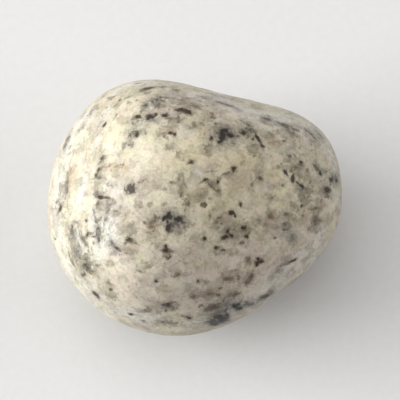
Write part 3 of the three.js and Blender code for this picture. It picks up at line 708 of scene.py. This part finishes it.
def lay_marks(mesh, stage, shape):
    """Lays the marks in view where they were seen, and scatters more of the same over the other sides."""
    places, normals = vectors_of(mesh, "co"), vectors_of(mesh, "normal")
    view = View(mesh, places, stage)
    hidden = normals @ np.array(view.towards) < LEAST_IN_VIEW
    chance = random.Random(shape.seed)
    square_centimetres = sum(face.area for face in mesh.polygons) * 1e4
    fields = {}
    for kind, (seen, per_square_centimetre, shortest, longest) in MARKS.items():
        field = fields[kind] = MarkField(places, shape.furthest_mark)
        for right, rise, length, width, turn in seen:
            field.add(*view.spot_at(right, rise), length * MM, width * MM, turn)
        for _ in range(round(per_square_centimetre * square_centimetres)):
            scatter_mark(field, normals, hidden, chance, shortest, longest)
    scatter_haloes(fields["smoky_halo"], fields["black_grain"], normals, hidden, chance)
    for kind, field in fields.items():
        attribute = mesh.attributes.new(kind, "FLOAT", "POINT")
        attribute.data.foreach_set("value", field.depth.astype(np.float32))
    return fields


def wavy(places, seed, waves, wavelength):
    """A soft, uneven field between about -1 and 1, made of plane waves with seeded directions."""
    chance = np.random.default_rng(seed)
    total = np.zeros(len(places))
    for _ in range(waves):
        heading = chance.normal(size=3)
        heading /= np.linalg.norm(heading)
        stretch = wavelength * chance.uniform(*WAVE_SPREAD)
        total += np.sin(places @ heading * 2 * math.pi / stretch + chance.uniform(0, 2 * math.pi))
    return total / math.sqrt(waves)


def height_of_crest(seen, to_left, to_right, points):
    """How high a crest lifts each place, given in millimetres across and up: most along its line."""
    nearest = np.full(len(seen), np.inf)
    height = np.zeros(len(seen))
    for (x0, y0, from_height), (x1, y1, to_height) in zip(points, points[1:]):
        start, run = np.array([x0, y0]), np.array([x1 - x0, y1 - y0])
        share = np.clip((seen - start) @ run / (run @ run), 0, 1)
        beside = seen - start - share[:, None] * run
        off = np.linalg.norm(beside, axis=1)
        closer = off < nearest
        fade = np.where(run[0] * beside[:, 1] - run[1] * beside[:, 0] > 0, to_left, to_right)
        lift = (from_height + share * (to_height - from_height)) * np.exp(-(off / fade) ** 2)
        nearest[closer] = off[closer]
        height[closer] = lift[closer]
    return height


def work_relief(mesh, fields, stage, shape):
    """Gives the surface its swells, ripples, hollows and crests, and plucks the black grains out a little."""
    places, normals = vectors_of(mesh, "co"), vectors_of(mesh, "normal")
    view = View(mesh, places, stage)
    height = shape.swell * wavy(places, shape.seed, SWELL_WAVES, SWELL_LENGTH)
    height += shape.ripple * wavy(places, shape.seed + 1, RIPPLE_WAVES, RIPPLE_LENGTH)
    height -= shape.pit * np.clip(fields["black_grain"].depth / PIT_WALL + PIT_AT_EDGE, 0, 1)
    for right, rise, length, width, turn, rises_by in HOLLOWS:
        near, share = oval_on(places, *view.spot_at(right, rise), length * MM, width * MM, turn, 0)
        height[near] += rises_by * MM * np.clip(1 - share ** 2, 0, 1) ** 2
    seen, facing = view.places_of(places), normals @ np.array(view.towards)
    for crest in CRESTS:
        height += height_of_crest(seen, *crest) * MM * np.clip(facing / CREST_FADE, 0, 1)
    clear_of_floor = np.clip(places[:, 2] / LEVEL_BELOW, 0, 1)
    places += normals * (height * clear_of_floor)[:, None]
    places[:, 2] = np.maximum(places[:, 2], 0)
    mesh.vertices.foreach_set("co", places.ravel())
    mesh.update()


class Graph:
    """Short ways to make and join a material's nodes."""

    def __init__(self, material):
        material.use_nodes = True
        self.tree = material.node_tree
        self.tree.nodes.clear()

    def add(self, kind, **settings):
        node = self.tree.nodes.new(kind)
        for name, value in settings.items():
            setattr(node, name, value)
        return node

    def join(self, source, target):
        """Joins two sockets, or sets the target to a plain value."""
        if isinstance(source, bpy.types.NodeSocket):
            self.tree.links.new(source, target)
        else:
            target.default_value = source

    def in_millimetres(self):
        """Object coordinates counted in millimetres."""
        place = self.add("ShaderNodeTexCoord").outputs["Object"]
        mapping = self.add("ShaderNodeMapping")
        mapping.inputs["Scale"].default_value = (1 / MM, 1 / MM, 1 / MM)
        self.join(place, mapping.inputs["Vector"])
        return mapping.outputs["Vector"]

    def maths(self, operation, *values):
        node = self.add("ShaderNodeMath", operation=operation)
        for value, socket in zip(values, node.inputs):
            self.join(value, socket)
        return node.outputs[0]

    def times(self, first, second):
        return self.maths("MULTIPLY", first, second)

    def ramp(self, value, span, gives=(0.0, 1.0)):
        """Carries a value from one range to another in a smooth step."""
        node = self.add("ShaderNodeMapRange", interpolation_type="SMOOTHSTEP")
        self.join(value, node.inputs["Value"])
        names = ("From Min", "From Max", "To Min", "To Max")
        for number, name in zip((*span, *gives), names):
            node.inputs[name].default_value = number
        return node.outputs["Result"]

    def noise(self, place, size, detail=3.0, roughness=0.5):
        """Noise whose lumps are about this many millimetres apart, as a value and as a colour."""
        node = self.add("ShaderNodeTexNoise")
        self.join(place, node.inputs["Vector"])
        node.inputs["Scale"].default_value = 1 / size
        node.inputs["Detail"].default_value = detail
        node.inputs["Roughness"].default_value = roughness
        return node.outputs["Fac"], node.outputs["Color"]

    def cells(self, place, size, feature="F1"):
        """Cells about this many millimetres across."""
        node = self.add("ShaderNodeTexVoronoi", feature=feature)
        self.join(place, node.inputs["Vector"])
        node.inputs["Scale"].default_value = 1 / size
        return node

    def soft_cells(self, place, size, softness):
        """Cells whose shades run into each other."""
        node = self.cells(place, size, "SMOOTH_F1")
        node.inputs["Smoothness"].default_value = softness
        return node

    def shades(self, cells):
        """Three random shades for each cell."""
        parts = self.add("ShaderNodeSeparateColor")
        self.join(cells.outputs["Color"], parts.inputs[0])
        return parts.outputs

    def borders(self, place, size, width):
        """1 on the lines between cells, 0 inside them."""
        node = self.cells(place, size, "DISTANCE_TO_EDGE")
        return self.ramp(node.outputs["Distance"], (0.0, width / size), (1.0, 0.0))

    def dots(self, place, size, largest, share):
        """A dot in this share of the cells, up to a largest radius. Some are fainter than others."""
        node = self.cells(place, size)
        shades = self.shades(node)
        # A cell with no dot has a radius below 0.
        radius = self.ramp(shades[0], (1 - share, 1.0), (-0.1, largest))
        inside = self.maths("SUBTRACT", radius, self.times(node.outputs["Distance"], size))
        return self.times(self.ramp(inside, (-0.05, 0.10)), self.ramp(shades[1], (0.0, 1.0), (0.4, 1.0)))

    def bent(self, place, size, amount):
        """The same coordinates, bent by noise, so that cells get uneven edges."""
        _, colour = self.noise(place, size, detail=2.0)
        centred = self.add("ShaderNodeVectorMath", operation="SUBTRACT")
        self.join(colour, centred.inputs[0])
        centred.inputs[1].default_value = (0.5, 0.5, 0.5)
        scaled = self.add("ShaderNodeVectorMath", operation="SCALE")
        self.join(centred.outputs[0], scaled.inputs[0])
        scaled.inputs["Scale"].default_value = amount
        moved = self.add("ShaderNodeVectorMath", operation="ADD")
        self.join(place, moved.inputs[0])
        self.join(scaled.outputs[0], moved.inputs[1])
        return moved.outputs[0]

    def blend(self, share, first, second, way="MIX"):
        node = self.add("ShaderNodeMix", data_type="RGBA", blend_type=way)
        self.join(share, node.inputs["Factor"])
        colours = [socket for socket in node.inputs if socket.type == "RGBA"]
        self.join(first, colours[0])
        self.join(second, colours[1])
        return next(socket for socket in node.outputs if socket.type == "RGBA")

    def tinted(self, ground, share, colour):
        """The ground with a share of a colour over it."""
        return self.blend(share, ground, tuple(colour))

    def shaded(self, ground, shade):
        """The ground made darker or paler by a factor."""
        tone = self.add("ShaderNodeCombineColor")
        for socket in tone.inputs:
            self.join(shade, socket)
        return self.blend(1.0, ground, tone.outputs[0], way="MULTIPLY")

    def cover(self, mark, soft, *ragged, grow=0.0):
        """How much of a mark shows at a point: from none to all within the soft distance of its edge. Each
        pair of a pattern and a width makes the edge ragged by that width, and the mark may be grown all
        round. All in millimetres."""
        node = self.add("ShaderNodeAttribute", attribute_type="GEOMETRY", attribute_name=mark)
        depth = self.maths("MULTIPLY_ADD", node.outputs["Fac"], 1 / MM, grow)
        for pattern, width in ragged:
            depth = self.maths("ADD", depth, self.maths("MULTIPLY_ADD", pattern, width, -width / 2))
        return self.ramp(depth, (-soft, soft))

    def share_between(self, cover, bare, full):
        """A value that goes from one number where there is no cover to another where it is full."""
        return self.maths("MULTIPLY_ADD", cover, full - bare, bare)

    def surface(self, sockets):
        """Ends the material with its shader, and sets or joins the shader's sockets that are named."""
        shader = self.add("ShaderNodeBsdfPrincipled")
        for name, value in sockets.items():
            self.join(value, shader.inputs[name])
        output = self.add("ShaderNodeOutputMaterial")
        self.join(shader.outputs[0], output.inputs["Surface"])


class RockPatterns:
    """The noises and cells that the rock's colours share."""

    def __init__(self, graph):
        place = graph.in_millimetres()
        # Places that are bent a little, so that what is laid out on them has no straight edges.
        self.uneven = graph.bent(place, size=1.1, amount=0.9)
        self.ragged = graph.bent(self.uneven, size=0.40, amount=0.34)
        self.drift, _ = graph.noise(place, size=4.5, detail=2.0)
        self.cloud, _ = graph.noise(self.uneven, size=1.7, detail=4.0, roughness=0.58)
        self.mottle, _ = graph.noise(place, size=0.80, detail=4.0, roughness=0.62)
        self.edge, _ = graph.noise(place, size=0.36, detail=3.0, roughness=0.65)
        self.speck, _ = graph.noise(place, size=0.22, detail=3.0, roughness=0.6)
        # Noise that breaks the painted highlights into glints.
        self.glitter, _ = graph.noise(place, size=0.22, detail=2.0)
        _, self.hues = graph.noise(self.uneven, size=1.3, detail=3.0, roughness=0.6)
        self.splinters = graph.shades(graph.cells(self.ragged, size=0.26))
        self.grain = graph.shades(graph.soft_cells(self.ragged, size=1.05, softness=0.55))
        self.crumb = graph.shades(graph.soft_cells(self.ragged, size=0.42, softness=0.35))


def feldspar(g, rock, colours):
    """Cream that drifts to yellow and to a dull pink, clouded with white, with painted sheen over it. Gives
    the colour, then where it is dull and where it is pale."""
    cloudy = (rock.cloud, 0.8)
    ground = g.blend(g.ramp(rock.drift, (0.46, 0.62), (0.0, 0.5)), tuple(colours.cream), tuple(colours.dull))
    ground = g.tinted(ground, g.times(g.cover("yellow_cloud", 0.35, cloudy), 0.75), colours.yellow)
    dull = g.cover("dull_cloud", 0.35, cloudy)
    ground = g.tinted(ground, g.times(dull, 0.90), colours.dull)
    # Paler rock, and the painted highlight on the left flank, brighten the ground by up to 17 per cent.
    pale = g.cover("pale_cloud", 0.30, cloudy)
    ground = g.shaded(ground, g.share_between(pale, 0.98, 1.17))
    # Painted sheen on the slopes and rims, and over the left flank's highlight.
    ground = g.tinted(ground, g.times(g.cover("ashen_cloud", 0.30, (rock.cloud, 0.6)), 0.52), colours.painted_sheen_colour)
    paleness = g.ramp(g.maths("ADD", g.times(rock.grain[0], 0.25), rock.cloud), (0.50, 0.90))
    ground = g.tinted(ground, g.times(paleness, 0.60), colours.white)
    return g.blend(0.16, ground, rock.hues, way="SOFT_LIGHT"), dull, pale


def lay_quartz(g, rock, colours, ground, pale):
    """Rounded grey grains with a thin dark border, and hairlines between the crystals. Gives the colour, then
    where there is quartz."""
    greyness = g.maths("ADD", g.times(rock.grain[1], 0.55), g.times(rock.mottle, 0.70))
    crumbs = g.ramp(rock.crumb[1], (0.66, 1.0), (0.0, 0.30))
    loose = g.maths("MAXIMUM", g.ramp(greyness, (0.66, 0.95), (0.0, 0.50)), crumbs)
    wobble = ((rock.edge, 0.60), (rock.crumb[2], 0.15))
    whole = g.cover("grey_quartz", 0.16, *wobble)
    rim = g.maths("SUBTRACT", whole, g.cover("grey_quartz", 0.16, *wobble, grow=-0.16))
    quartz = g.maths("MAXIMUM", loose, g.times(whole, g.ramp(rock.mottle, (0.35, 0.65), (0.25, 0.80))))
    ground = g.tinted(ground, quartz, colours.quartz)
    ground = g.tinted(ground, g.times(rim, g.ramp(rock.cloud, (0.40, 0.60), (0.30, 0.0))), colours.brown)
    borders = g.borders(rock.ragged, size=1.05, width=0.14)
    hairlines = g.times(borders, g.ramp(rock.cloud, (0.44, 0.60), (0.30, 0.0)))
    ground = g.tinted(ground, g.times(hairlines, g.share_between(pale, 1.0, 0.3)), colours.quartz)
    ground = g.shaded(ground, g.ramp(rock.speck, (0.28, 0.72), (0.89, 1.07)))
    return g.shaded(ground, g.ramp(rock.crumb[0], (0.0, 1.0), (0.95, 1.04))), quartz


def lay_flecks(g, rock, colours, ground, dull, pale):
    """Small dark flecks, thicker in some places than in others."""
    flecks = g.ramp(g.maths("ADD", rock.edge, g.times(rock.cloud, -0.35)), (0.40, 0.52), (0.0, 0.40))
    dots = g.dots(rock.ragged, size=0.95, largest=0.26, share=0.45)
    pepper = g.times(dots, g.ramp(rock.cloud, (0.42, 0.58), (0.85, 0.10)))
    calm = g.maths("MAXIMUM", pale, g.times(dull, 0.5))
    share = g.times(g.maths("MAXIMUM", flecks, pepper), g.share_between(calm, 1.0, 0.4))
    return g.tinted(ground, share, colours.brown)


def lay_haloes(g, rock, colours, ground):
    """A black grain shows through the clear rock round it as a smoky stain. Gives the colour, then where the
    haloes are."""
    halo = g.cover("smoky_halo", 0.40, (rock.edge, 0.6), (rock.speck, 0.3))
    ground = g.tinted(ground, g.times(halo, g.ramp(rock.speck, (0.36, 0.64), (0.84, 0.40))), colours.smoke)
    core = g.cover("smoky_halo", 0.22, (rock.edge, 0.7), (rock.speck, 0.4), grow=-0.26)
    return g.tinted(ground, g.times(core, 0.34), colours.ink), halo


def lay_grains(g, rock, colours, ground, halo):
    """Painted highlights (white glints), brown grains, and black grains with a brown fringe. Gives the
    colour, then where the black grains are."""
    # Painted highlight: bluish-white glints of the window's light, broken up by noise.
    painted_glint = g.cover("white_glint", 0.15, (rock.edge, 0.5))
    ground = g.tinted(ground, g.times(painted_glint, g.ramp(rock.glitter, (0.35, 0.60), (0.10, 0.60))), colours.painted_glint)
    brown = g.cover("brown_grain", 0.12, (rock.edge, 0.44), (rock.splinters[0], 0.10))
    ground = g.tinted(ground, g.times(brown, g.ramp(rock.speck, (0.35, 0.65), (0.80, 0.50))), colours.brown)
    fringe = g.cover("black_grain", 0.22, (rock.edge, 0.45), grow=0.14)
    ground = g.tinted(ground, g.times(fringe, 0.45), colours.brown)
    solid = g.cover("black_grain", 0.09, (rock.edge, 0.36), (rock.splinters[1], 0.14), grow=0.01)
    peppered = g.times(halo, g.ramp(rock.edge, (0.60, 0.70), (0.0, 0.60)))
    black = g.maths("MAXIMUM", g.times(solid, 0.95), peppered)
    return g.blend(black, ground, g.blend(halo, tuple(colours.black), tuple(colours.ink))), black


def rock_material(colours):
    """Polished, fine-grained rock: feldspar, quartz and flecks, and stains, haloes and grains over them, with
    painted highlights and painted sheen.
    """
    material = bpy.data.materials.new("polished_dalmatian_jasper")
    g = Graph(material)
    rock = RockPatterns(g)
    ground, dull, pale = feldspar(g, rock, colours)
    ground, quartz = lay_quartz(g, rock, colours, ground, pale)
    ground = lay_flecks(g, rock, colours, ground, dull, pale)
    ground = g.tinted(ground, g.times(g.cover("warm_stain", 0.35, (rock.edge, 0.8)), 0.42), colours.warm)
    ground, halo = lay_haloes(g, rock, colours, ground)
    ground, black = lay_grains(g, rock, colours, ground, halo)

    # Quartz and the black grains take the best polish.
    rough = g.maths("ADD", g.ramp(rock.mottle, (0.35, 0.65), (-0.08, 0.10)), colours.polish)
    rough = g.maths("SUBTRACT", rough, g.maths("MAXIMUM", g.times(quartz, 0.10), g.times(black, 0.06)))

    height = g.maths("ADD", g.times(rock.speck, 0.5), g.times(rock.crumb[2], 0.4))
    bump = g.add("ShaderNodeBump")
    bump.inputs["Strength"].default_value = 0.5
    bump.inputs["Distance"].default_value = 0.03 * MM
    g.join(g.maths("SUBTRACT", height, g.times(black, 0.8)), bump.inputs["Height"])

    g.surface({
        "Base Color": ground,
        "Roughness": rough,
        "Normal": bump.outputs["Normal"],
        "IOR": 1.5,
        "Specular IOR Level": 0.35,
        "Sheen Weight": 0.08,
        "Sheen Roughness": 0.45,
        "Subsurface Weight": colours.clearness,
        "Subsurface Radius": (1.0, 0.85, 0.65),
        "Subsurface Scale": 0.4 * MM,
    })
    return material


def card_material(colour):
    """Matt, pale card with a faint fibre."""
    material = bpy.data.materials.new("pale_card")
    g = Graph(material)
    fibre, _ = g.noise(g.in_millimetres(), size=0.8, detail=4.0)
    card = g.shaded(tuple(colour), g.ramp(fibre, (0.2, 0.8), (0.985, 1.015)))
    g.surface({"Base Color": card, "Roughness": 0.85, "Specular IOR Level": 0.2})
    return material


class JASPER_OT_stone(bpy.types.Operator):
    """Model the tumbled stone and give it its rock"""

    bl_idname = "jasper.stone"
    bl_label = "Tumbled stone"

    def execute(self, context):
        shape, stage = context.scene.jasper_shape, context.scene.jasper_stage
        mesh = smooth_copy(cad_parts[SOLID], shape.levels)
        fields = lay_marks(mesh, stage, shape)
        work_relief(mesh, fields, stage, shape)
        mesh.shade_smooth()
        mesh.materials.clear()
        mesh.materials.append(rock_material(context.scene.jasper_colours))
        piece = bpy.data.objects.new(PIECE, mesh)
        context.collection.objects.link(piece)
        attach(piece, "root")
        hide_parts(SOLID)
        return {"FINISHED"}


class JASPER_OT_stage(bpy.types.Operator):
    """Set the floor, the soft light and the camera"""

    bl_idname = "jasper.stage"
    bl_label = "Floor, light and camera"

    def execute(self, context):
        stage = context.scene.jasper_stage
        self.lay_floor(context, stage)
        self.light(context, stage)
        self.place_camera(context, stage)
        context.scene.view_settings.view_transform = "Standard"
        return {"FINISHED"}

    def lay_floor(self, context, stage):
        sheet = bmesh.new()
        bmesh.ops.create_circle(sheet, cap_ends=True, segments=64, radius=FLOOR_RADIUS)
        bmesh.ops.translate(sheet, verts=sheet.verts, vec=(0, 0, -FLOOR_DROP))
        mesh = bpy.data.meshes.new("floor")
        sheet.to_mesh(mesh)
        sheet.free()
        mesh.materials.append(card_material(stage.floor_colour))
        floor = bpy.data.objects.new("floor", mesh)
        context.collection.objects.link(floor)

    def light(self, context, stage):
        world = bpy.data.worlds.new("even_light")
        world.use_nodes = True
        sky = world.node_tree.nodes["Background"]
        sky.inputs["Color"].default_value = (1, 1, 1, 1)
        sky.inputs["Strength"].default_value = stage.sky
        context.scene.world = world
        for name, settings in LIGHTS.items():
            self.add_soft_light(context, name, getattr(stage, name), *settings)

    def add_soft_light(self, context, name, power, colour, width, height, azimuth, elevation):
        """A rectangle of light that is turned to the stone."""
        light = bpy.data.lights.new(name, "AREA")
        light.shape = "RECTANGLE"
        light.size, light.size_y = width, height
        light.energy = power
        light.color = colour
        holder = bpy.data.objects.new(name, light)
        turn, rise = math.radians(azimuth), math.radians(elevation)
        heading = Vector((math.cos(rise) * math.cos(turn), math.cos(rise) * math.sin(turn), math.sin(rise)))
        holder.location = heading * LIGHT_DISTANCE
        holder.rotation_euler = (-heading).to_track_quat("-Z", "Y").to_euler()
        context.collection.objects.link(holder)

    def place_camera(self, context, stage):
        _, _, towards = view_axes(stage)
        lens = bpy.data.cameras.new("camera")
        lens.sensor_width = 36
        lens.lens = lens.sensor_width * stage.camera_distance / stage.view_width
        lens.clip_start, lens.clip_end = 0.01, 10
        camera = bpy.data.objects.new("camera", lens)
        camera.location = point_looked_at(stage) + towards * stage.camera_distance
        camera.rotation_euler = (math.pi / 2 - stage.camera_elevation, 0, 0)
        context.collection.objects.link(camera)
        context.scene.camera = camera


class JASPER_PT_panel(bpy.types.Panel):
    """Lists what makes the stone and its stage"""

    bl_idname = "JASPER_PT_panel"
    bl_label = "Dalmatian jasper"
    bl_space_type = "VIEW_3D"
    bl_region_type = "UI"
    bl_category = "Jasper"

    def draw(self, context):
        for title, settings, operator in (
            ("Shape", context.scene.jasper_shape, JASPER_OT_stone),
            ("Rock", context.scene.jasper_colours, None),
            ("Stage", context.scene.jasper_stage, JASPER_OT_stage),
        ):
            box = self.layout.box()
            box.label(text=title)
            for name in settings.__annotations__:
                box.prop(settings, name)
            if operator:
                box.operator(operator.bl_idname)


CLASSES = (JasperShape, JasperColours, JasperStage, JASPER_OT_stone, JASPER_OT_stage, JASPER_PT_panel)


def register():
    for each in CLASSES:
        bpy.utils.register_class(each)
    bpy.types.Scene.jasper_shape = bpy.props.PointerProperty(type=JasperShape)
    bpy.types.Scene.jasper_colours = bpy.props.PointerProperty(type=JasperColours)
    bpy.types.Scene.jasper_stage = bpy.props.PointerProperty(type=JasperStage)


def unregister():
    del bpy.types.Scene.jasper_stage
    del bpy.types.Scene.jasper_colours
    del bpy.types.Scene.jasper_shape
    for each in reversed(CLASSES):
        bpy.utils.unregister_class(each)


def main():
    register()
    bpy.ops.jasper.stone()
    bpy.ops.jasper.stage()


if __name__ == "__main__":
    main()
